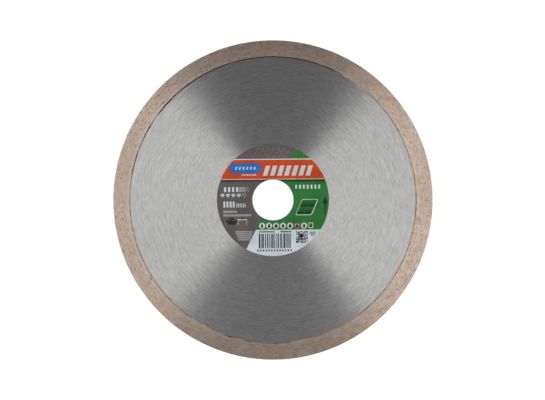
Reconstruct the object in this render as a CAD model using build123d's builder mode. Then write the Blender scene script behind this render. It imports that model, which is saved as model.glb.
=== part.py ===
from build123d import *
import math
import os
import random

# Continuous-rim diamond blade for masonry and tile, 200 mm across.
# Millimetres. The arbor axis is Y, the labelled front looks towards -Y, and +Z is up as the
# label reads. The origin is the middle of the bore.

# Driving dimensions
blade_diameter = 200.0
bore_diameter = 25.4
core_thickness = 1.6
rim_thickness = 2.2
rim_height = 10.0

# Steel core
bore_radius = bore_diameter / 2
core_face = core_thickness / 2
bore_deburr = 0.1
rim_inner_radius = blade_diameter / 2 - rim_height

# Seam between core and rim: a shallow step in the core that the braze fills
seam_width = 0.8
seam_step = 0.06
seam_inner_radius = rim_inner_radius - seam_width
seam_floor = core_face - seam_step
seam_rise = 0.28

# Keyed tongue of the core, pressed inside the rim
tongue_face = 0.6
tongue_radius = rim_inner_radius + 2.4
key_count = 48
key_width = 2.2
key_depth = 2.0

# Diamond crystals: a block with its two ends bevelled all round
crystal_width = 0.34
crystal_length = 0.32
crystal_bevel = 0.11
crystal_depth = 0.14
crystal_waist = crystal_length / 2 - crystal_bevel
crystal_reach = math.hypot(crystal_width / 2, crystal_width / 2, crystal_waist)
crystals_on_flank = 60
crystals_on_edge = 60
crystal_seed = 200

# Sintered rim: its bond stands back from the nominal size by what the crystals stand proud
rim_face = rim_thickness / 2
bond_radius = blade_diameter / 2 - (crystal_reach - crystal_depth)
rim_outer_break = 0.2
rim_inner_break = 0.05

# Label: adhesive, film and printed inks, stacked outwards from the front of the core
label_radius = 35.0
label_hole_radius = 13.0
adhesive_thickness = 0.03
film_thickness = 0.09
ink_thickness = 0.02
film_base = core_face + adhesive_thickness
ink_base = film_base + film_thickness

# Layout of the print, from the middle of the label
band_bottom = 13.2
band_top = 25.2
band_line_below = 0.35
band_line_above = 0.9
panel_top = -18.4
divider_x = -1.6
divider_slope = 0.495
badge_width = 19.3
badge_height = 6.2
badge_centre = (-17.0, 19.9)
badge_corner = 0.8

os.makedirs("parts", exist_ok=True)


def divider(height):
    """Sideways place of the slanted line between the grey and the green, at a height."""
    return divider_x + divider_slope * height


def left_of_divider(bottom, top):
    """Corners of the part of the label left of the slanted line, between two heights."""
    return [
        (-label_radius, bottom),
        (divider(bottom), bottom),
        (divider(top), top),
        (-label_radius, top),
    ]


def right_of_divider(bottom, top):
    """Corners of the part of the label right of the slanted line, between two heights."""
    return [
        (divider(bottom), bottom),
        (label_radius, bottom),
        (label_radius, top),
        (divider(top), top),
    ]


# Steel core: a flat disc with a deburred bore and a thinner keyed tongue round its edge
with BuildPart() as steel_core:
    with BuildSketch(Plane.XY):
        with BuildLine():
            Polyline(
                (bore_radius, core_face - bore_deburr),
                (bore_radius + bore_deburr, core_face),
                (seam_inner_radius, core_face),
                (seam_inner_radius, seam_floor),
                (rim_inner_radius, seam_floor),
                (rim_inner_radius, tongue_face),
                (tongue_radius, tongue_face),
                (tongue_radius, -tongue_face),
                (rim_inner_radius, -tongue_face),
                (rim_inner_radius, -seam_floor),
                (seam_inner_radius, -seam_floor),
                (seam_inner_radius, -core_face),
                (bore_radius + bore_deburr, -core_face),
                (bore_radius, bore_deburr - core_face),
                close=True,
            )
        make_face()
    revolve(axis=Axis.Y)
    with BuildSketch(Plane.XZ):
        with PolarLocations(tongue_radius, key_count):
            Rectangle(2 * key_depth, key_width)
    extrude(amount=tongue_face, both=True, mode=Mode.SUBTRACT)
steel_core.part.label = "steel_core"
export_step(steel_core.part, "parts/steel_core.step")


# One diamond crystal, then a scatter of them over both flanks and the outer edge of the rim
with BuildPart() as crystal:
    Box(crystal_width, crystal_width, crystal_length)
    chamfer(crystal.faces().filter_by(Axis.Z).edges(), crystal_bevel)

chance = random.Random(crystal_seed)


def crystal_place(angle, radius, across):
    """Where one crystal sits, turned a random way."""
    centre = Vector(radius, across, 0).rotate(Axis.Y, angle)
    turn = (chance.uniform(0, 360), chance.uniform(0, 360), chance.uniform(0, 360))
    return Location(tuple(centre), turn)


crystal_places = []
for side in (-1, 1):
    for number in range(crystals_on_flank):
        angle = 360 * (number + chance.uniform(0, 0.7)) / crystals_on_flank
        radius = chance.uniform(rim_inner_radius + 0.7, bond_radius - 0.7)
        crystal_places.append(crystal_place(angle, radius, side * (rim_face - crystal_depth)))
for number in range(crystals_on_edge):
    angle = 360 * (number + chance.uniform(0, 0.7)) / crystals_on_edge
    across = chance.uniform(0.6 - rim_face, rim_face - 0.6)
    crystal_places.append(crystal_place(angle, bond_radius - crystal_depth, across))

with BuildPart() as diamond_grit:
    with Locations(crystal_places):
        add(crystal.part)
diamond_grit.part.label = "diamond_grit"
export_step(diamond_grit.part, "parts/diamond_grit.step")


# Sintered rim: one ring moulded round the core's tongue and round the crystals
with BuildPart() as diamond_rim:
    with BuildSketch(Plane.XY):
        with BuildLine():
            Polyline(
                (rim_inner_radius, -rim_face + rim_inner_break),
                (rim_inner_radius, rim_face - rim_inner_break),
                (rim_inner_radius + rim_inner_break, rim_face),
                (bond_radius - rim_outer_break, rim_face),
                (bond_radius, rim_face - rim_outer_break),
                (bond_radius, -rim_face + rim_outer_break),
                (bond_radius - rim_outer_break, -rim_face),
                (rim_inner_radius + rim_inner_break, -rim_face),
                close=True,
            )
        make_face()
    revolve(axis=Axis.Y)
    add(steel_core.part, mode=Mode.SUBTRACT)
    add(diamond_grit.part, mode=Mode.SUBTRACT)
diamond_rim.part.label = "diamond_rim"
export_step(diamond_rim.part, "parts/diamond_rim.step")


# Braze in the step of the core, run up the rim's inner wall on each side
with BuildPart() as braze_back:
    with BuildSketch(Plane.XY):
        with BuildLine():
            Polyline(
                (seam_inner_radius, seam_floor),
                (rim_inner_radius, seam_floor),
                (rim_inner_radius, seam_floor + seam_rise),
                (seam_inner_radius, core_face),
                close=True,
            )
        make_face()
    revolve(axis=Axis.Y)
braze_back.part.label = "braze_seam_back"
export_step(braze_back.part, "parts/braze_seam_back.step")

with BuildPart() as braze_front:
    add(mirror(braze_back.part, about=Plane.XZ, mode=Mode.PRIVATE))
braze_front.part.label = "braze_seam_front"
export_step(braze_front.part, "parts/braze_seam_front.step")


# Label: a ring of adhesive with the film on it
with BuildPart() as label_adhesive:
    with BuildSketch(Plane.XZ.offset(core_face)):
        Circle(label_radius)
        Circle(label_hole_radius, mode=Mode.SUBTRACT)
    extrude(amount=adhesive_thickness)
label_adhesive.part.label = "label_adhesive"
export_step(label_adhesive.part, "parts/label_adhesive.step")

with BuildPart() as label_film:
    with BuildSketch(Plane.XZ.offset(film_base)):
        Circle(label_radius)
        Circle(label_hole_radius, mode=Mode.SUBTRACT)
    extrude(amount=film_thickness)
label_film.part.label = "label_film"
export_step(label_film.part, "parts/label_film.step")


# Printed inks: each colour covers its own fields of the label, and bare film shows between
def label_field(corners):
    """The part of the label's ring inside an outline."""
    with BuildSketch(Plane.XZ.offset(ink_base)) as field:
        Circle(label_radius)
        Circle(label_hole_radius, mode=Mode.SUBTRACT)
        with BuildLine(mode=Mode.PRIVATE) as outline:
            Polyline(*corners, close=True)
        make_face(outline.edges(), mode=Mode.INTERSECT)
    return field.sketch


above_band = band_top + band_line_above
below_band = band_bottom - band_line_below

with BuildPart() as ink_grey:
    extrude(label_field(left_of_divider(above_band, label_radius)), amount=ink_thickness)
    extrude(label_field(left_of_divider(-label_radius, below_band)), amount=ink_thickness)
ink_grey.part.label = "label_ink_grey"
export_step(ink_grey.part, "parts/label_ink_grey.step")

with BuildPart() as ink_green:
    extrude(label_field(right_of_divider(above_band, label_radius)), amount=ink_thickness)
    extrude(label_field(right_of_divider(panel_top, below_band)), amount=ink_thickness)
ink_green.part.label = "label_ink_green"
export_step(ink_green.part, "parts/label_ink_green.step")

with BuildPart() as ink_blue:
    with BuildSketch(Plane.XZ.offset(ink_base)):
        with Locations(badge_centre):
            RectangleRounded(badge_width, badge_height, badge_corner)
    extrude(amount=ink_thickness)
ink_blue.part.label = "label_ink_blue"
export_step(ink_blue.part, "parts/label_ink_blue.step")

with BuildPart() as ink_orange:
    band = [
        (-label_radius, band_bottom),
        (label_radius, band_bottom),
        (label_radius, band_top),
        (-label_radius, band_top),
    ]
    extrude(label_field(band), amount=ink_thickness)
    add(ink_blue.part, mode=Mode.SUBTRACT)
ink_orange.part.label = "label_ink_orange"
export_step(ink_orange.part, "parts/label_ink_orange.step")
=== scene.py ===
import math
import random

import bmesh
import bpy
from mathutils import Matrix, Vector, noise


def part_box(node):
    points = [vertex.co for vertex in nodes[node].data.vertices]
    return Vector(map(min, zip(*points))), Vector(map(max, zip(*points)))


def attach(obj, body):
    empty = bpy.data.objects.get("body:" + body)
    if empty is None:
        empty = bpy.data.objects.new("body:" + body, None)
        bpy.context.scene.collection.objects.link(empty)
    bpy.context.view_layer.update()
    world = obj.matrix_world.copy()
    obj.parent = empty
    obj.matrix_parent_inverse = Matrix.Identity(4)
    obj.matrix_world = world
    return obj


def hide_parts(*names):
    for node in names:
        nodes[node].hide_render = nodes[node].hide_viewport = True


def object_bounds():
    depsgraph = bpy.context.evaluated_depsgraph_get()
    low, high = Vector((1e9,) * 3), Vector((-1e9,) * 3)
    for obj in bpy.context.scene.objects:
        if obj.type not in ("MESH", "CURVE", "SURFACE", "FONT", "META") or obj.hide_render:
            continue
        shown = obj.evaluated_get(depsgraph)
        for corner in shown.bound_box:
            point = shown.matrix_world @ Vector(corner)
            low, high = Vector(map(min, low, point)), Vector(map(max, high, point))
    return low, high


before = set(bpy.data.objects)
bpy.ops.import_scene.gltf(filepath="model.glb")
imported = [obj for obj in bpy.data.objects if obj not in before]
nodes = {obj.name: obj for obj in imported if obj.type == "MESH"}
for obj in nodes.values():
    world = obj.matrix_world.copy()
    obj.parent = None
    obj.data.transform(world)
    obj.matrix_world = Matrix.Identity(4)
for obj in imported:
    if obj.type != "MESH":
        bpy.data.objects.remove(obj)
cad_bounds = [list(corner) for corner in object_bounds()]
scene = bpy.context.scene

# Metres, as in the frame. The arbor axis is Y, the labelled front looks towards -Y, +Z is up.
MM = 0.001
BODY = "root"
FRONT = -1
BACK = 1

# Sizes read from the frame
blade_radius = cad_bounds[1][0]
core_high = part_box("steel_core")[1]
core_face, tongue_radius = core_high.y, core_high.x
rim_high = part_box("diamond_rim")[1]
rim_face, bond_radius = rim_high.y, rim_high.x
rim_inner_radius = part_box("braze_seam_back")[1].x
film_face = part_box("label_film")[0].y
ink_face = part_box("label_ink_grey")[0].y
band_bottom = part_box("label_ink_orange")[0].z
badge_low, badge_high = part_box("label_ink_blue")

# Sizes of the blade that no box gives
tongue_face = 0.6 * MM
seam_width = 0.8 * MM
seam_step = 0.06 * MM

# Sizes that only the looks need
rim_steps = 1500
seam_steps = 1400
chip_count = 46
crystals_on_flank = 600
crystals_on_edge = 700

# Print on the label, in millimetres from the middle of the bore
mark_proud = 0.012
divider_slope = 0.495
tile_foot = -8.9
tile_pitch = 4.45

# Camera: how far away, how wide the blade stands in the picture, and how it is turned and set off
camera_distance = 1.2
blade_share_of_width = 0.5862
blade_off_centre = 0.28 * MM
label_tilt = math.radians(0.4)


# ---------------------------------------------------------------- nodes of materials

def add_node(tree, kind, inputs=None, **settings):
    """A shader node with its settings, and its inputs given as values or as other nodes' sockets."""
    made = tree.nodes.new(kind)
    for key, value in settings.items():
        setattr(made, key, value)
    for key, value in (inputs or {}).items():
        if isinstance(value, bpy.types.NodeSocket):
            tree.links.new(value, made.inputs[key])
        else:
            made.inputs[key].default_value = value
    return made


def math_node(tree, operation, first, second=0.0):
    return add_node(tree, "ShaderNodeMath", {0: first, 1: second}, operation=operation).outputs[0]


def scaled(tree, value, size):
    return math_node(tree, "MULTIPLY", value, size)


def vector_node(tree, operation, inputs):
    return add_node(tree, "ShaderNodeVectorMath", inputs, operation=operation).outputs


def ramp(tree, value, low, high, to_low=0.0, to_high=1.0):
    """A value carried smoothly from one range to another."""
    return add_node(tree, "ShaderNodeMapRange",
                    {"Value": value, "From Min": low, "From Max": high,
                     "To Min": to_low, "To Max": to_high},
                    interpolation_type="SMOOTHSTEP").outputs["Result"]


def mix_colour(tree, share, first, second):
    """Two colours mixed. A colour is a socket or three numbers."""
    made = add_node(tree, "ShaderNodeMix", data_type="RGBA")
    for socket, value in ((made.inputs[0], share), (made.inputs[6], first), (made.inputs[7], second)):
        if isinstance(value, bpy.types.NodeSocket):
            tree.links.new(value, socket)
        elif isinstance(value, (int, float)):
            socket.default_value = value
        else:
            socket.default_value = (*value, 1.0)
    return made.outputs[2]


def object_place(tree):
    return add_node(tree, "ShaderNodeTexCoord").outputs["Object"]


def along_axis(tree, axis):
    """How far the place lies along one axis."""
    return add_node(tree, "ShaderNodeSeparateXYZ", {0: object_place(tree)}).outputs[axis]


def noise_value(tree, vector, detail, scale=1.0, rough=0.5):
    return add_node(tree, "ShaderNodeTexNoise",
                    {"Vector": vector, "Scale": scale, "Detail": detail, "Roughness": rough}
                    ).outputs["Fac"]


def flat_and_radius(tree):
    """The place pressed flat onto the disc, and its distance from the arbor axis."""
    flat = vector_node(tree, "MULTIPLY", {0: object_place(tree), 1: (1, 0, 1)})[0]
    return flat, vector_node(tree, "LENGTH", {0: flat})["Value"]


def turned_place(tree, around, across):
    """Coordinates that run round the arbor axis, for marks that a turning tool leaves.
    around is the radius of the circle that they run on, and across is units per metre of the
    blade's radius. Through the thickness they change four times as fast."""
    flat, radius = flat_and_radius(tree)
    unit = vector_node(tree, "NORMALIZE", {0: flat})[0]
    spun = vector_node(tree, "SCALE", {0: unit, "Scale": around})[0]
    lift = math_node(tree, "ADD", scaled(tree, radius, across),
                     scaled(tree, along_axis(tree, "Y"), across * 4))
    risen = add_node(tree, "ShaderNodeCombineXYZ", {"Y": lift}).outputs[0]
    return vector_node(tree, "ADD", {0: spun, 1: risen})[0]


def new_material(name):
    """A material, its node tree and its shader."""
    made = bpy.data.materials.new(name)
    made.use_nodes = True
    return made, made.node_tree, made.node_tree.nodes["Principled BSDF"]


def relief(tree, shader, height):
    """Small relief of the surface. height is in metres."""
    made = add_node(tree, "ShaderNodeBump", {"Height": height, "Strength": 1.0, "Distance": 1.0})
    tree.links.new(made.outputs[0], shader.inputs["Normal"])


def round_brushing(tree, shader, roughness, anisotropy):
    """Gloss stretched across marks that run round the arbor axis. roughness is a socket."""
    shader.inputs["Anisotropic"].default_value = anisotropy
    shader.inputs["Anisotropic Rotation"].default_value = 0.25
    tangent = add_node(tree, "ShaderNodeTangent", direction_type="RADIAL", axis="Y")
    tree.links.new(tangent.outputs[0], shader.inputs["Tangent"])
    tree.links.new(roughness, shader.inputs["Roughness"])


def steel_material():
    """Flat steel ground in circles: short fine streaks, faint clouds and a few bright scratches."""
    made, tree, shader = new_material("brushed_steel")
    broad = noise_value(tree, turned_place(tree, 11, 2300), detail=2, rough=0.6)
    fine = noise_value(tree, turned_place(tree, 25, 5200), detail=2, rough=0.6)
    clouds = noise_value(tree, object_place(tree), scale=30, detail=3)
    streaks = math_node(tree, "ADD", scaled(tree, broad, 0.55), scaled(tree, fine, 0.45))
    shade = mix_colour(tree, ramp(tree, streaks, 0.34, 0.66), (0.53, 0.53, 0.53), (0.77, 0.77, 0.77))
    shade = mix_colour(tree, ramp(tree, clouds, 0.35, 0.75, 0.0, 0.08), shade, (0.84, 0.84, 0.83))
    scratches = noise_value(tree, turned_place(tree, 13, 2300), detail=1, rough=0.3)
    shade = mix_colour(tree, ramp(tree, scratches, 0.735, 0.79, 0.0, 0.8), shade, (0.97, 0.97, 0.97))
    tree.links.new(shade, shader.inputs["Base Color"])
    shader.inputs["Metallic"].default_value = 1.0
    round_brushing(tree, shader, ramp(tree, streaks, 0.3, 0.7, 0.48, 0.42), 1.0)
    relief(tree, shader, scaled(tree, streaks, 0.000004))
    return made


def bond_material():
    """Sintered bronze bond: mottled tan, faintly turned, with dark open pores, and grain whose brightest
    specks are partly painted glints. It darkens a little to the left, and a painted highlight lightens
    the edge next to the core."""
    made, tree, shader = new_material("sintered_bond")
    place = object_place(tree)
    turned = noise_value(tree, turned_place(tree, 26, 1500), detail=3, rough=0.6)
    mottle = noise_value(tree, place, scale=260, detail=4, rough=0.65)
    patches = noise_value(tree, place, scale=30, detail=2)
    grain_and_glints = noise_value(tree, place, scale=1500, detail=3, rough=0.7)
    ragged = noise_value(tree, turned_place(tree, 150, 3000), detail=2, rough=0.6)
    specks = noise_value(tree, turned_place(tree, 60, 1500), detail=1, rough=0.4)
    pore = add_node(tree, "ShaderNodeAttribute", attribute_name="pore").outputs["Fac"]
    shade = mix_colour(tree, ramp(tree, mottle, 0.3, 0.7), (0.56, 0.430, 0.343), (0.77, 0.617, 0.515))
    shade = mix_colour(tree, ramp(tree, turned, 0.45, 0.68, 0.0, 0.6), shade, (0.87, 0.722, 0.613))
    shade = mix_colour(tree, ramp(tree, turned, 0.47, 0.32, 0.0, 0.5), shade, (0.40, 0.31, 0.245))
    shade = mix_colour(tree, ramp(tree, patches, 0.4, 0.7, 0.0, 0.35), shade, (0.52, 0.41, 0.33))
    # painted glints: the brightest grain specks are lightened to stand in for light glinting off
    # crystals; the darker specks and the relief are the bond's own grain
    shade = mix_colour(tree, ramp(tree, grain_and_glints, 0.55, 0.75, 0.0, 0.5), shade, (0.92, 0.82, 0.72))
    shade = mix_colour(tree, ramp(tree, grain_and_glints, 0.45, 0.28, 0.0, 0.5), shade, (0.34, 0.26, 0.20))
    left = ramp(tree, along_axis(tree, "X"), 0.03, -0.09, 0.0, 0.22)
    shade = mix_colour(tree, left, shade, (0.45, 0.36, 0.30))
    radius = flat_and_radius(tree)[1]
    # painted highlight: the bond is lightened along the edge next to the core, standing in for light
    # caught on its inner chamfer
    painted_edge_highlight = ramp(tree, radius, rim_inner_radius + 0.5 * MM, rim_inner_radius + 2.4 * MM, 0.16, 0.0)
    shade = mix_colour(tree, painted_edge_highlight, shade, (0.93, 0.80, 0.69))
    open_pore = ramp(tree, math_node(tree, "ADD", pore, scaled(tree, ragged, 0.5)), 0.50, 0.80)
    speck = ramp(tree, specks, 0.68, 0.74)
    hollow = math_node(tree, "MAXIMUM", open_pore, scaled(tree, speck, 0.75))
    shade = mix_colour(tree, scaled(tree, hollow, 0.62), shade, (0.12, 0.085, 0.066))
    tree.links.new(shade, shader.inputs["Base Color"])
    shader.inputs["Metallic"].default_value = 0.90
    shader.inputs["Specular IOR Level"].default_value = 0.0
    round_brushing(tree, shader, ramp(tree, mottle, 0.3, 0.7, 0.44, 0.54), 0.9)
    depth = math_node(tree, "SUBTRACT", scaled(tree, grain_and_glints, 0.000012), scaled(tree, hollow, 0.00003))
    relief(tree, shader, depth)
    return made


def crystal_material():
    """Pale yellow-green synthetic diamond, glassy but full of inclusions."""
    made, tree, shader = new_material("diamond_crystal")
    cloud = noise_value(tree, object_place(tree), scale=1400, detail=2)
    shade = mix_colour(tree, ramp(tree, cloud, 0.35, 0.65), (0.52, 0.47, 0.34), (0.78, 0.74, 0.62))
    tree.links.new(shade, shader.inputs["Base Color"])
    shader.inputs["Roughness"].default_value = 0.12
    shader.inputs["IOR"].default_value = 2.2
    relief(tree, shader, scaled(tree, cloud, 0.000003))
    return made


def seam_material():
    """Oxidised braze, from brown to nearly black where it was burnt, and darker still from painted shade
    of the step, most of all along the top.
    """
    made, tree, shader = new_material("dark_braze")
    place = object_place(tree)
    runs = noise_value(tree, place, scale=60, detail=3)
    flecks = noise_value(tree, place, scale=420, detail=3, rough=0.7)
    shade = mix_colour(tree, ramp(tree, flecks, 0.35, 0.7), (0.31, 0.23, 0.175), (0.54, 0.415, 0.325))
    burnt_and_shaded = runs
    # painted shade: on top of the random burn, the braze darkens towards the top and upper left and a
    # little towards the bottom, where the step's shadow falls
    for direction, most in (((-0.30, 0, 0.95), 0.38), ((0, 0, -1), 0.12)):
        towards = vector_node(tree, "DOT_PRODUCT", {0: place, 1: direction})["Value"]
        burnt_and_shaded = math_node(tree, "ADD", ramp(tree, towards, 0.030, 0.082, 0.0, most), burnt_and_shaded)
    shade = mix_colour(tree, ramp(tree, burnt_and_shaded, 0.58, 0.84), shade, (0.060, 0.046, 0.038))
    tree.links.new(shade, shader.inputs["Base Color"])
    shader.inputs["Metallic"].default_value = 0.6
    tree.links.new(ramp(tree, flecks, 0.3, 0.7, 0.75, 0.5), shader.inputs["Roughness"])
    relief(tree, shader, scaled(tree, flecks, 0.00004))
    return made


def satin_print(tree, shader, shade):
    """A print's colour and satin gloss. Returns the fine paper tooth that the gloss follows."""
    tooth = noise_value(tree, object_place(tree), scale=5200, detail=2)
    tree.links.new(shade, shader.inputs["Base Color"])
    tree.links.new(ramp(tree, tooth, 0.3, 0.7, 0.38, 0.50), shader.inputs["Roughness"])
    shader.inputs["Specular IOR Level"].default_value = 0.2
    return tooth


def print_material(name, colour, edge_shadow=0.0):
    """Ink or film of the label, slightly uneven in colour.
    edge_shadow darkens the print just under the orange band, as it is printed."""
    made, tree, shader = new_material(name)
    uneven = noise_value(tree, object_place(tree), scale=90, detail=3)
    dark = tuple(0.90 * part for part in colour)
    light = tuple(min(1.0, 1.05 * part + 0.004) for part in colour)
    shade = mix_colour(tree, ramp(tree, uneven, 0.35, 0.65), dark, light)
    if edge_shadow:
        height = along_axis(tree, "Z")
        under = ramp(tree, height, band_bottom - 2.7 * MM, band_bottom - 1.0 * MM, 0.0, edge_shadow)
        shadow = math_node(tree, "MULTIPLY", under, math_node(tree, "LESS_THAN", height, band_bottom))
        shade = mix_colour(tree, shadow, shade, tuple(0.12 * part for part in colour))
    tooth = satin_print(tree, shader, shade)
    relief(tree, shader, scaled(tree, tooth, 0.0000008))
    return made


def glazed_tile_material():
    """Print of glazed tiles: each runs from deep green at its foot to bright green at its top."""
    made, tree, shader = new_material("print_glazed_tiles")
    foot, pitch = tile_foot * MM, tile_pitch * MM
    above_foot = math_node(tree, "SUBTRACT", along_axis(tree, "Z"), foot - pitch)
    share = ramp(tree, math_node(tree, "MODULO", above_foot, pitch), 0.0, pitch)
    satin_print(tree, shader, mix_colour(tree, share, (0.005, 0.036, 0.009), (0.015, 0.125, 0.028)))
    return made


# ---------------------------------------------------------------- pieces

def add_piece(name, vertices, faces, material, stands_for=(), smooth=False):
    """A mesh that rides on the blade."""
    mesh = bpy.data.meshes.new(name)
    mesh.from_pydata(vertices, [], faces)
    mesh.update()
    if smooth:
        mesh.polygons.foreach_set("use_smooth", [True] * len(mesh.polygons))
    mesh.materials.append(material)
    piece = bpy.data.objects.new(name, mesh)
    scene.collection.objects.link(piece)
    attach(piece, BODY)
    if stands_for:
        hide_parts(*stands_for)
    return piece


def dress(node, material):
    """A CAD node keeps its shape and gets a finished material."""
    mesh = nodes[node].data
    mesh.materials.clear()
    mesh.materials.append(material)


def in_plane(angle, radius, along):
    """The point at an angle and a radius round the arbor axis. Angles are counted from the right,
    upwards, as the front is seen."""
    return Vector((radius * math.cos(angle), along, radius * math.sin(angle)))


def turn_between(angle, other):
    """How far apart two angles are, the short way round."""
    return abs((angle - other + math.pi) % (2 * math.pi) - math.pi)


def add_ring(name, profile, steps, displace, material, stands_for):
    """A closed ring round the arbor axis. profile holds (radius, along the axis) points. displace
    gives a point's move along both, and how deep it lies in a pore from 0 to 1, which the ring
    keeps for its material."""
    count = len(profile)
    vertices, pores = [], []
    for step in range(steps):
        angle = 2 * math.pi * step / steps
        for radius, along in profile:
            out, lift, pore = displace(angle, radius, along)
            pores.append(pore)
            vertices.append(in_plane(angle, radius + out, along + lift))
    faces = []
    for step in range(steps):
        this, after = step * count, (step + 1) % steps * count
        for place in range(count):
            nearby = (place + 1) % count
            faces.append((this + place, after + place, after + nearby, this + nearby))
    piece = add_piece(name, vertices, faces, material, stands_for, smooth=True)
    piece.data.attributes.new("pore", "FLOAT", "POINT").data.foreach_set("value", pores)


def spaced(start, end, count):
    """Points from start up to, and without, end."""
    return [tuple(a + (b - a) * n / count for a, b in zip(start, end)) for n in range(count)]


def rim_profile():
    """Section of the rim, counter-clockwise: outer edge, back flank, groove for the tongue, front."""
    rounding = 0.2 * MM
    inner_break = 0.05 * MM
    corner_steps = 4
    corner = []
    for n in range(corner_steps + 1):
        turn = math.pi / 2 * n / corner_steps
        corner.append((bond_radius - rounding + rounding * math.cos(turn),
                       rim_face - rounding + rounding * math.sin(turn)))
    half = spaced((bond_radius, 0), corner[0], 3)
    half += corner[:-1]
    half += spaced(corner[-1], (rim_inner_radius + inner_break, rim_face), 20)
    half += [(rim_inner_radius + inner_break, rim_face),
             (rim_inner_radius, rim_face - inner_break),
             (rim_inner_radius, tongue_face),
             (tongue_radius, tongue_face)]
    mirrored = [(radius, -along) for radius, along in reversed(half[1:])]
    return half + mirrored


def rim_relief(chips, crowded):
    """How the bond's surface leaves its section: a fine waviness, open pores and chipped edges.
    chips holds each chip's angle, side, half width and depth. crowded holds the middles of the
    stretches where the pores lie thickest, with their half widths."""
    wave_length, wave_height = 2.4 * MM, 0.018 * MM
    pores_around, pore_height = 62, 0.60 * MM
    pore_threshold, crowded_threshold, pore_slope = 0.51, 0.37, 0.16
    pore_depth, edge_pore_depth = 0.08 * MM, 0.05 * MM
    edge_zone = 0.25 * MM

    def open_pore(angle, radius, side):
        crowd = max(0.0, *(1.0 - turn_between(angle, where) / width for where, width in crowded))
        turned = in_plane(angle, pores_around, radius / pore_height + 40 * side)
        threshold = pore_threshold + (crowded_threshold - pore_threshold) * crowd
        return min(1.0, max(0.0, (noise.noise(turned) - threshold) / pore_slope))

    def displace(angle, radius, along):
        in_groove = abs(along) < tongue_face + 0.05 * MM and radius < bond_radius - 0.3 * MM
        if in_groove or radius < rim_inner_radius + 0.3 * MM:
            return 0.0, 0.0, 0.0
        side = math.copysign(1.0, along)
        wave = noise.noise(in_plane(angle, radius, along * 3) / wave_length) * wave_height
        pore = open_pore(angle, radius, side)
        out = 0.0
        lift = side * (wave - pore_depth * pore)
        if radius > bond_radius - edge_zone:
            out = -abs(wave) * 0.6 - edge_pore_depth * pore
            lift = -side * abs(wave) * 0.3
            for where, chip_side, width, depth in chips:
                apart = turn_between(angle, where)
                if chip_side == side and apart < width:
                    share = min(1.0, abs(along) / rim_face)
                    bite = math.cos(apart / width * math.pi / 2) * depth * share
                    out -= bite
                    lift -= side * bite * 0.5
        return out, lift, pore
    return displace


def make_rim(material):
    """The sintered rim, with small chips out of its two outer edges."""
    chance = random.Random(11)
    chips = []
    for _ in range(chip_count):
        chips.append((chance.uniform(0, 2 * math.pi), chance.choice((FRONT, BACK)),
                      chance.uniform(0.003, 0.009), chance.uniform(0.05, 0.22) * MM))
    crowded = [(math.radians(where), math.radians(width))
               for where, width in ((133, 14), (152, 16), (184, 14), (205, 16), (350, 12), (28, 9))]
    add_ring("sintered_rim", rim_profile(), rim_steps, rim_relief(chips, crowded), material,
             ["diamond_rim"])


def crystal_shape():
    """Corners of a cube with its corners cut, as the directions they lie in."""
    points = []
    for axis in range(3):
        for sign in (-1.0, 1.0):
            for first in (-0.5, 0.5):
                for second in (-0.5, 0.5):
                    point = [0.0, 0.0, 0.0]
                    point[axis] = sign
                    point[(axis + 1) % 3] = first
                    point[(axis + 2) % 3] = second
                    points.append(Vector(point))
    return points


def make_grit(material):
    """Crystals held in the bond, about a third of each standing proud, over both flanks and the edge."""
    chance = random.Random(23)
    shape = bmesh.new()
    for point in crystal_shape():
        shape.verts.new(point)
    bmesh.ops.convex_hull(shape, input=shape.verts)
    bmesh.ops.dissolve_limit(shape, angle_limit=0.02, verts=shape.verts, edges=shape.edges)
    corners = [corner.co.copy() for corner in shape.verts]
    outlines = [[corner.index for corner in face.verts] for face in shape.faces]
    shape.free()
    vertices, faces = [], []

    def place_crystal(centre, size):
        turn = Vector((chance.gauss(0, 1), chance.gauss(0, 1), chance.gauss(0, 1))).normalized()
        spin = turn.rotation_difference(Vector((0, 0, 1)))
        first = len(vertices)
        vertices.extend(centre + spin @ (corner * size) for corner in corners)
        faces.extend([first + index for index in outline] for outline in outlines)

    for side in (FRONT, BACK):
        for _ in range(crystals_on_flank):
            angle = chance.uniform(0, 2 * math.pi)
            reach = chance.uniform(rim_inner_radius + 0.5 * MM, bond_radius - 0.5 * MM)
            size = chance.uniform(0.09, 0.19) * MM
            place_crystal(in_plane(angle, reach, side * (rim_face - size * 0.55)), size)
    for _ in range(crystals_on_edge):
        angle = chance.uniform(0, 2 * math.pi)
        size = chance.uniform(0.09, 0.17) * MM
        across = chance.uniform(-0.8, 0.8) * rim_face
        place_crystal(in_plane(angle, bond_radius - size * 0.7, across), size)
    add_piece("diamond_crystals", vertices, faces, material, ["diamond_grit"])


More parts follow.
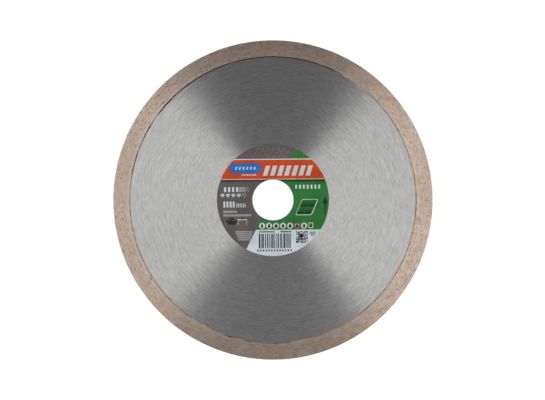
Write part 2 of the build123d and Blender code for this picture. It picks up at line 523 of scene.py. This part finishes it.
def make_seam(name, node, side, seed, material):
    """Braze in the step between core and rim, uneven in width and height. On the front it spills
    over the core at the upper left, and one small blob stands out of it."""
    floor = core_face - seam_step
    inner = rim_inner_radius - seam_width
    crown = 0.20 * MM
    spill_at, spill_width = math.radians(118), 0.4
    blob_at, blob_half, blob_width = math.radians(149), 0.007, 0.7

    profile = [(rim_inner_radius, floor), (rim_inner_radius + 0.04 * MM, core_face + crown)]
    for share in (0.15, 0.35, 0.55, 0.75):
        rise = crown * (1 - share) ** 1.6 + 0.012 * MM
        profile.append((rim_inner_radius - seam_width * share, core_face + rise))
    profile += [(inner, core_face - 0.01 * MM), (inner + 0.05 * MM, floor)]
    profile = [(radius, side * along) for radius, along in profile]
    if side == FRONT:
        profile.reverse()

    def displace(angle, radius, along):
        if abs(along) < core_face:
            return 0.0, 0.0, 0.0
        around = in_plane(angle, radius, seed)
        rough = noise.noise(around / (1.6 * MM)) * 0.6 + noise.noise(around / (7 * MM)) * 1.1
        run_over = 0.0
        if side == FRONT:
            run_over = blob_width * max(0.0, 1 - turn_between(angle, blob_at) / blob_half)
            run_over += spill_width * max(0.0, math.cos(angle - spill_at)) ** 4
        share = max(0.0, (rim_inner_radius - radius) / seam_width)
        out = (rough * 0.32 - run_over) * share
        return out * MM, side * rough * 0.05 * MM * max(0.0, 1 - share), 0.0

    add_ring(name, profile, seam_steps, displace, material, [node])


# ---------------------------------------------------------------- print on the label

def block(left, bottom, right, top, slant=0.0):
    """A four-sided mark, leaning to the right by slant for each unit of height."""
    lean = slant * (top - bottom)
    return [(left, bottom), (right, bottom), (right + lean, top), (left + lean, top)]


def row_of_blocks(count, left, pitch, width, bottom, top, slant=0.0):
    """Equal blocks side by side."""
    starts = [left + pitch * number for number in range(count)]
    return [block(start, bottom, start + width, top, slant) for start in starts]


def round_mark(x, z, radius, steps=40):
    turns = [2 * math.pi * n / steps for n in range(steps)]
    return [(x + radius * math.cos(turn), z + radius * math.sin(turn)) for turn in turns]


def rounded_block(left, bottom, right, top, corner, slant=0.0):
    """A four-sided mark with rounded corners."""
    corner_steps = 5
    outline = []
    centres = [(right - corner, top - corner), (left + corner, top - corner),
               (left + corner, bottom + corner), (right - corner, bottom + corner)]
    for quarter, (x, z) in enumerate(centres):
        for n in range(corner_steps + 1):
            turn = math.pi / 2 * (quarter + n / corner_steps)
            outline.append((x + corner * math.cos(turn), z + corner * math.sin(turn)))
    return [(x + slant * (z - bottom), z) for x, z in outline]


def greek(left, bottom, right, top, seed, shortest, longest, gap):
    """A line of small print as plain blocks of uneven length."""
    chance = random.Random(seed)
    marks = []
    start = left
    while start < right - shortest / 2:
        end = min(right, start + chance.uniform(shortest, longest))
        marks.append(block(start, bottom, end, top))
        start = end + gap
    return marks


def gem(x, z, width):
    """A plain cut stone seen from the side, as four facets with gaps between them."""
    half = width / 2
    top, girdle, foot = z + 0.36 * width, z + 0.10 * width, z - 0.5 * width
    gap = 0.05 * width
    return [
        [(x - half, girdle), (x - gap, foot + gap), (x - 0.32 * half, girdle)],
        [(x - 0.32 * half + gap, girdle), (x, foot), (x + 0.32 * half - gap, girdle)],
        [(x + 0.32 * half, girdle), (x + gap, foot + gap), (x + half, girdle)],
        [(x - half + gap, girdle + gap), (x + half - gap, girdle + gap),
         (x + 0.6 * half, top), (x - 0.6 * half, top)],
    ]


def hollow_gem(x, z, width):
    """The outline of the same stone."""
    corners = [(-0.5, 0.10), (0.0, -0.5), (0.5, 0.10), (0.3, 0.36), (-0.3, 0.36)]
    outer = [(x + width * across, z + width * up) for across, up in corners]
    inner = [(x + 0.72 * width * across, z + 0.72 * width * up) for across, up in corners]
    return outer, inner


def add_marks(name, marks, material, base, proud=mark_proud):
    """Printed marks as thin solids on the label. A mark is an outline in millimetres, seen from the
    front, or a pair of outlines with as many points each, the outer and the hole."""
    sunk = 0.004
    front, rear = base - proud * MM, base + sunk * MM
    vertices, faces = [], []

    def ring(outline, depth):
        first = len(vertices)
        vertices.extend((x * MM, depth, z * MM) for x, z in outline)
        return list(range(first, first + len(outline)))

    for mark in marks:
        outer, hole = mark if isinstance(mark, tuple) else (mark, None)
        count = len(outer)
        near, far = ring(outer, front), ring(outer, rear)
        for n in range(count):
            after = (n + 1) % count
            faces.append((near[n], far[n], far[after], near[after]))
        if hole is None:
            faces.append(tuple(near))
            faces.append(tuple(reversed(far)))
            continue
        hole_near, hole_far = ring(hole, front), ring(hole, rear)
        for n in range(count):
            after = (n + 1) % count
            faces.append((hole_near[n], hole_near[after], hole_far[after], hole_far[n]))
            faces.append((near[n], near[after], hole_near[after], hole_near[n]))
            faces.append((far[after], far[n], hole_far[n], hole_far[after]))
    add_piece(name, vertices, faces, material)


def print_white_marks(material):
    """Blocks in place of words in the band, on the badge and in the headings, the four full stones
    and the table's top."""
    slant = 0.3
    marks = row_of_blocks(7, left=-6.2, pitch=4.45, width=2.75, bottom=15.2, top=21.5, slant=slant)
    marks += row_of_blocks(6, left=-23.6, pitch=2.3, width=1.0, bottom=19.1, top=20.8, slant=slant)
    marks += greek(-19.4, 15.4, -10.2, 16.1, seed=3, shortest=0.5, longest=1.2, gap=0.25)
    marks += row_of_blocks(4, left=-30.5, pitch=2.5, width=1.3, bottom=5.2, top=8.2)
    marks += row_of_blocks(4, left=-31.0, pitch=1.95, width=1.15, bottom=-4.5, top=-0.8)
    marks += row_of_blocks(6, left=-22.9, pitch=1.05, width=0.5, bottom=-4.5, top=-2.0)
    for number in range(4):
        marks += gem(-31.5 + 3.38 * number, 3.0, 2.8)
    marks.append(block(-22.2, -12.5, -16.1, -11.9))
    marks += row_of_blocks(7, left=14.0, pitch=2.4, width=1.15, bottom=6.9, top=9.4)
    add_marks("print_white", marks, material, ink_face)


def print_pale_marks(material):
    """Paler marks on the grey: bars that thin out, the fifth stone, small print, the table's legs."""
    marks = []
    for number in range(9):
        left = -21.0 + 0.78 * number
        marks.append(block(left, 5.1, left + 0.62 * (1 - number / 10), 8.2))
    marks.append(hollow_gem(-18.0, 3.0, 2.9))
    marks += greek(-31.0, -7.9, -22.5, -6.5, seed=5, shortest=0.5, longest=1.0, gap=0.3)
    marks += greek(-31.0, -10.1, -13.6, -8.8, seed=6, shortest=0.5, longest=1.1, gap=0.3)
    for line in range(5):
        top = -19.4 - 1.25 * line
        inset = 0.35 * line
        marks += greek(-23.6 + 1.3 * inset, top - 0.75, -12.6 - inset, top,
                       seed=30 + line, shortest=0.5, longest=1.3, gap=0.2)
    for leg in (-22.0, -16.8):
        marks.append(block(leg, -15.6, leg + 0.4, -12.6))
    add_marks("print_pale", marks, material, ink_face)


def print_faint_pattern(material):
    """Rings and slanted bars in rows over the grey above the band, clear of its edges."""
    pattern_reach = 33.4
    marks = []
    for row in range(4):
        for column in range(12):
            x = -22.4 + 3.3 * column + 1.5 * row
            z = 27.5 + 2.2 * row
            if math.hypot(x, z) > pattern_reach or x > divider_slope * z - 4.0:
                continue
            if (row + column) % 3 == 0:
                marks.append((round_mark(x, z, 0.95, 20), round_mark(x, z, 0.6, 20)))
                continue
            for left in (x - 0.8, x + 0.1):
                marks.append(block(left, z - 0.8, left + 0.4, z + 0.7, slant=0.55))
    add_marks("print_faint", marks, material, ink_face)


def print_tub_and_disc(material):
    """Black marks on the grey: a plain tub with its lid, and the disc over the table."""
    tub = [(-27.8, -15.3), (-24.0, -15.3), (-21.9, -12.6), (-29.6, -12.6)]
    lid = rounded_block(-27.4, -12.2, -24.4, -11.1, 0.5)
    turns = [math.pi * n / 12 for n in range(13)]
    disc = [(-19.3 + math.cos(turn), -11.8 + 0.9 * math.sin(turn)) for turn in turns]
    add_marks("print_black_on_grey", [tub, lid, disc], material, ink_face, 0.016)


def print_badge_edge(material):
    """Thin dark edge of the badge."""
    edge_width = 0.22
    left, bottom = badge_low.x / MM, badge_low.z / MM
    right, top = badge_high.x / MM, badge_high.z / MM
    edge = (rounded_block(left, bottom, right, top, 0.8),
            rounded_block(left + edge_width, bottom + edge_width,
                          right - edge_width, top - edge_width, 0.6))
    add_marks("print_badge_edge", [edge], material, ink_face)


def print_arrow(material):
    """Arrow that points up the right side of the green: a tapered shaft and a head."""
    shaft = [(32.1, -2.4), (32.5, -9.6), (32.8, -9.6), (33.1, -2.4)]
    head = [(31.0, -2.4), (34.2, -2.4), (32.6, 2.3)]
    add_marks("print_arrow", [shaft, head], material, ink_face)


def print_tile_picture(frame_material, tile_material):
    """Four leaning tiles inside a white outline."""
    lean = 0.43
    tile_width = 4.2
    outline = (rounded_block(13.9, -9.6, 24.2, 0.4, 1.0, lean),
               rounded_block(14.3, -9.2, 23.85, 0.05, 0.75, lean))
    add_marks("print_tile_frame", [outline], frame_material, ink_face)
    tiles = []
    for column in range(2):
        for row in range(2):
            left = 14.9 + tile_pitch * column + lean * tile_pitch * row
            bottom = tile_foot + tile_pitch * row
            tiles.append(rounded_block(left, bottom, left + tile_width, bottom + tile_width, 0.4, lean))
    add_marks("print_tiles", tiles, tile_material, ink_face)


def print_thin_lines(lime, grey):
    """Lines on the bare film, lime where the green meets it and grey where the grey does."""
    past_ink = (film_face - ink_face) / MM + mark_proud
    under_green = [(-10.8, -18.75), (-10.6, -18.35), (29.4, -18.35), (29.2, -18.75)]
    above_band_right = block(11.3, 25.75, 23.2, 26.12)
    above_band_left = block(-23.2, 25.75, 11.2, 26.12)
    add_marks("print_line", [under_green, above_band_right], lime, film_face, past_ink)
    add_marks("print_line_grey", [above_band_left], grey, film_face, past_ink)


def print_round_signs(white, red, black):
    """Row of white discs and a square frame, with a plain black mark on each and a red ring on one."""
    row = -16.1
    centres = [-6.9 + 4.38 * number for number in range(7)]
    ringed = centres[5]
    discs = [round_mark(x, row, 1.85) for x in centres if x != ringed]
    discs.append(round_mark(ringed, row, 1.4))
    discs.append((rounded_block(22.2, row - 1.6, 25.0, row + 1.8, 0.3),
                  rounded_block(22.6, row - 1.2, 24.6, row + 1.4, 0.2)))
    add_marks("print_discs", discs, white, ink_face)
    ring = (round_mark(ringed, row, 1.95), round_mark(ringed, row, 1.35))
    add_marks("print_ring", [ring], red, ink_face, 0.014)
    marks = []
    for number, x in enumerate(centres):
        half = 0.72 + 0.16 * (number % 3)
        marks.append(rounded_block(x - half, row - 1.2, x + half, row + 0.35, 0.25))
        marks.append(round_mark(x, row + 0.8, 0.5, 16))
    for line in range(3):
        foot = row - 0.9 + 0.8 * line
        marks.append(block(22.9, foot, 24.3, foot + 0.4))
    add_marks("print_glyphs", marks, black, ink_face, 0.018)


def print_on_bare_film(material):
    """Strip of bars, square pattern and small print on the white, all of it random."""
    chance = random.Random(41)
    marks = []
    start = -9.0
    while start < 11.4:
        width = chance.choice((0.3, 0.45, 0.6, 0.95))
        marks.append(block(start, -30.2, start + width, -21.0))
        start += width + chance.choice((0.3, 0.45, 0.75))
    marks += greek(-9.0, -20.3, 1.2, -19.5, seed=43, shortest=0.7, longest=1.5, gap=0.18)
    marks += greek(4.6, -20.3, 11.6, -19.5, seed=44, shortest=0.7, longest=1.5, gap=0.18)
    for number in range(13):
        left = -9.9 + 1.72 * number
        marks.append(rounded_block(left, -32.2, left + 0.8, -30.9, 0.2))

    cells = 17
    size = 7.4 / cells
    share_filled = 0.64
    for column in range(cells):
        for line in range(cells):
            if chance.random() < share_filled:
                left, bottom = 14.3 + size * column, -26.9 + size * line
                marks.append(block(left, bottom, left + size, bottom + size))
    marks += greek(22.8, -20.6, 26.8, -20.0, seed=45, shortest=0.5, longest=0.9, gap=0.2)
    marks += greek(22.9, -21.6, 26.4, -21.0, seed=46, shortest=0.5, longest=0.9, gap=0.2)
    marks += greek(23.4, -22.5, 25.6, -22.0, seed=47, shortest=0.4, longest=0.8, gap=0.2)
    add_marks("print_on_film", marks, material, film_face)


def make_label_print():
    """All the small marks of the label, each a plain generic shape."""
    white = print_material("print_white", (0.53, 0.57, 0.57))
    pale = print_material("print_pale", (0.340, 0.350, 0.350))
    faint = print_material("print_faint", (0.160, 0.148, 0.150))
    black = print_material("print_black", (0.016, 0.016, 0.018))
    deep_blue = print_material("print_deep_blue", (0.010, 0.050, 0.170))
    deep_green = print_material("print_deep_green", (0.006, 0.030, 0.010))
    lime = print_material("print_lime", (0.19, 0.29, 0.12))
    red = print_material("print_red", (0.36, 0.026, 0.014))
    print_white_marks(white)
    print_pale_marks(pale)
    print_faint_pattern(faint)
    print_tub_and_disc(black)
    print_badge_edge(deep_blue)
    print_arrow(deep_green)
    print_tile_picture(white, glazed_tile_material())
    print_thin_lines(lime, faint)
    print_round_signs(white, red, black)
    print_on_bare_film(black)


# ---------------------------------------------------------------- studio

def make_world():
    """Soft light from a tent: bright walls left and right, darker above, below and behind the
    camera. The camera itself sees plain white."""
    world = bpy.data.worlds.new("studio")
    scene.world = world
    world.use_nodes = True
    tree = world.node_tree
    tree.nodes.clear()
    direction = add_node(tree, "ShaderNodeTexCoord").outputs["Generated"]
    x, y, z = add_node(tree, "ShaderNodeSeparateXYZ", {0: direction}).outputs
    side = math_node(tree, "ABSOLUTE", x)

    # Where the walls are: up to an angle above and below the middle, which lies higher on the left,
    # and fading out straight ahead and straight behind
    raised = scaled(tree, math_node(tree, "MINIMUM", x, 0.0), 0.13)
    rise = math_node(tree, "ABSOLUTE", math_node(tree, "ADD", z, raised))
    turn = math_node(tree, "ARCTAN2", rise, side)
    wall = ramp(tree, turn, math.radians(43.5), math.radians(57), 1.0, 0.0)
    off_axis = math_node(tree, "SUBTRACT", 1.0, math_node(tree, "ABSOLUTE", y))
    lit = math_node(tree, "MULTIPLY", wall, ramp(tree, off_axis, 0.02, 0.12))

    # How bright they are: less on the left, and less in a fold high on the right and low on the left
    level = ramp(tree, x, -0.3, 0.3, 1.29, 1.33)
    slant = math_node(tree, "MULTIPLY", z, math_node(tree, "SIGN", x))
    slant = math_node(tree, "ARCTAN2", slant, side)
    fold = math_node(tree, "MULTIPLY", ramp(tree, slant, math.radians(6), math.radians(20), 0.0, 0.09),
                     ramp(tree, slant, math.radians(24), math.radians(40), 1.0, 0.0))
    level = math_node(tree, "SUBTRACT", level, fold)
    dim = ramp(tree, z, -0.25, 0.25, 0.125, 0.11)
    strength = math_node(tree, "ADD", math_node(tree, "MULTIPLY", lit, level), dim)
    tint = mix_colour(tree, lit, (0.985, 0.99, 1.0), (1.0, 0.995, 0.98))
    tent = add_node(tree, "ShaderNodeBackground", {"Color": tint, "Strength": strength})
    plain = add_node(tree, "ShaderNodeBackground", {"Color": (1, 1, 1, 1), "Strength": 1.05})
    seen = add_node(tree, "ShaderNodeLightPath").outputs["Is Camera Ray"]
    both = add_node(tree, "ShaderNodeMixShader", {0: seen, 1: tent.outputs[0], 2: plain.outputs[0]})
    output = add_node(tree, "ShaderNodeOutputWorld")
    tree.links.new(both.outputs[0], output.inputs[0])


def make_bounce_card():
    """Soft low light in front of the blade's foot, as a white table throws back."""
    data = bpy.data.lights.new("bounce_card", "AREA")
    data.shape = "RECTANGLE"
    data.size = 0.14
    data.size_y = 0.045
    data.energy = 0.030
    card = bpy.data.objects.new("bounce_card", data)
    card.location = (0, -0.25, -0.075)
    card.rotation_euler = (math.pi / 2, 0, 0)
    card.visible_camera = False
    scene.collection.objects.link(card)


def make_floor():
    """Plain pale floor that the blade's edge stands on."""
    half = 1.6
    level = cad_bounds[0][2]
    corners = [(-half, -half, level), (half, -half, level), (half, half, level), (-half, half, level)]
    mesh = bpy.data.meshes.new("floor")
    mesh.from_pydata(corners, [], [(0, 1, 2, 3)])
    floor = bpy.data.objects.new("floor", mesh)
    scene.collection.objects.link(floor)
    made, tree, shader = new_material("floor_white")
    tone = noise_value(tree, object_place(tree), scale=3, detail=2)
    shade = mix_colour(tree, tone, (0.90, 0.90, 0.90), (0.93, 0.93, 0.93))
    tree.links.new(shade, shader.inputs["Base Color"])
    shader.inputs["Roughness"].default_value = 0.9
    shader.inputs["Specular IOR Level"].default_value = 0.0
    shader.inputs["Emission Color"].default_value = (1, 1, 1, 1)
    shader.inputs["Emission Strength"].default_value = 0.62
    mesh.materials.append(made)
    floor.visible_glossy = False


def make_camera():
    """Straight in front of the label, far enough back that the blade's sides stay hidden."""
    data = bpy.data.cameras.new("camera")
    data.sensor_width = 36
    reach = camera_distance - rim_face
    data.lens = data.sensor_width * blade_share_of_width * reach / (2 * blade_radius)
    data.clip_start = 0.01
    camera = bpy.data.objects.new("camera", data)
    camera.location = (-blade_off_centre, -camera_distance, 0)
    camera.rotation_euler = (math.pi / 2, label_tilt, 0)
    scene.collection.objects.link(camera)
    scene.camera = camera


scene.view_settings.view_transform = "Standard"
make_camera()
make_world()
make_bounce_card()
make_floor()

dress("steel_core", steel_material())
make_rim(bond_material())
make_grit(crystal_material())
seam = seam_material()
make_seam("seam_front", "braze_seam_front", FRONT, 0.4, seam)
make_seam("seam_back", "braze_seam_back", BACK, 0.9, seam)

dress("label_film", print_material("label_white", (0.530, 0.591, 0.633)))
dress("label_adhesive", print_material("adhesive", (0.60, 0.58, 0.50)))
dress("label_ink_grey", print_material("ink_grey", (0.100, 0.087, 0.088), edge_shadow=0.6))
dress("label_ink_green", print_material("ink_green", (0.018, 0.158, 0.028), edge_shadow=0.8))
dress("label_ink_orange", print_material("ink_orange", (0.510, 0.052, 0.005)))
dress("label_ink_blue", print_material("ink_blue", (0.018, 0.136, 0.468)))
make_label_print()
